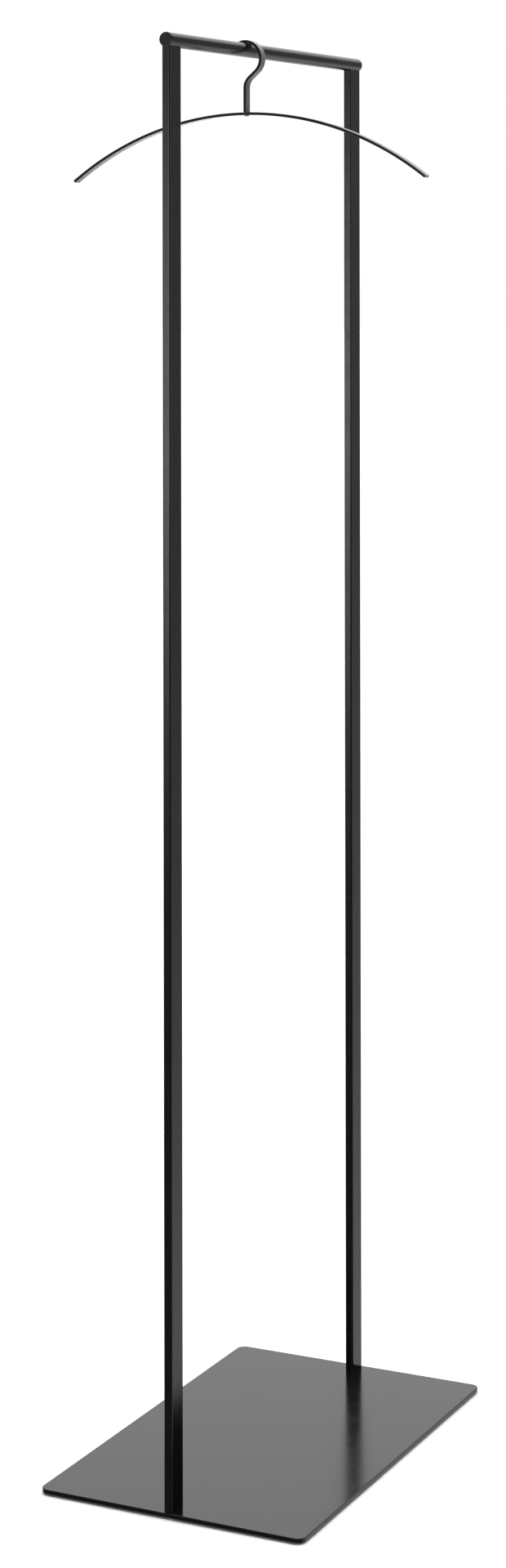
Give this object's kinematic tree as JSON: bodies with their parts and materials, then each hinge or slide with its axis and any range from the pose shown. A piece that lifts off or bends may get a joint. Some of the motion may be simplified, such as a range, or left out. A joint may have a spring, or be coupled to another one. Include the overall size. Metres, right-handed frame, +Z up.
{
  "type": "valet stand",
  "caption": "Slim steel valet stand: flat rectangular base plate, two flat uprights, a round top rail and a curved clothes hanger hooked over the rail.",
  "frame": {"origin": "on the floor, under the middle of the base plate", "axes": "+Z up, Y along the rail and the plate's long side, X along the hanger's arms and the plate's short side"},
  "size_m": [0.442, 0.5, 1.5973],
  "materials": {
    "stand_coat": "black fine-textured powder coat, satin",
    "hanger_coat": "black powder coat, satin",
    "plain_steel": "zinc-plated",
    "pad_rubber": "matt"
  },
  "bodies": {
    "stand": {"base_plate": "stand_coat", "base_pad_front_left": "pad_rubber", "base_pad_front_right": "pad_rubber", "base_pad_rear_left": "pad_rubber", "base_pad_rear_right": "pad_rubber", "base_screw_1": "plain_steel", "base_screw_2": "plain_steel", "base_screw_3": "plain_steel", "base_screw_4": "plain_steel", "upright_front": "stand_coat", "foot_insert_front": "plain_steel", "head_insert_front": "plain_steel", "rail_stud_front": "plain_steel", "rail_cap_front": "stand_coat", "rail_plug_front": "plain_steel", "upright_rear": "stand_coat", "foot_insert_rear": "plain_steel", "head_insert_rear": "plain_steel", "rail_stud_rear": "plain_steel", "rail_cap_rear": "stand_coat", "rail_plug_rear": "plain_steel", "rail": "stand_coat"},
    "hook": {"hanger_hook": "hanger_coat", "hanger_washer": "hanger_coat"},
    "arm": {"hanger_arm": "hanger_coat"}
  },
  "joints": [
    {"name": "hanger_slide", "type": "slide", "parent": "stand", "child": "hook", "axis": [0, 1, 0], "range_m": [-0.147, 0.253]},
    {"name": "arm_swivel", "type": "hinge", "parent": "hook", "child": "arm", "pos_m": [0, -0.053, 1.5143], "axis": [0, 0, 1], "range_deg": [-60, 60]}
  ]
}
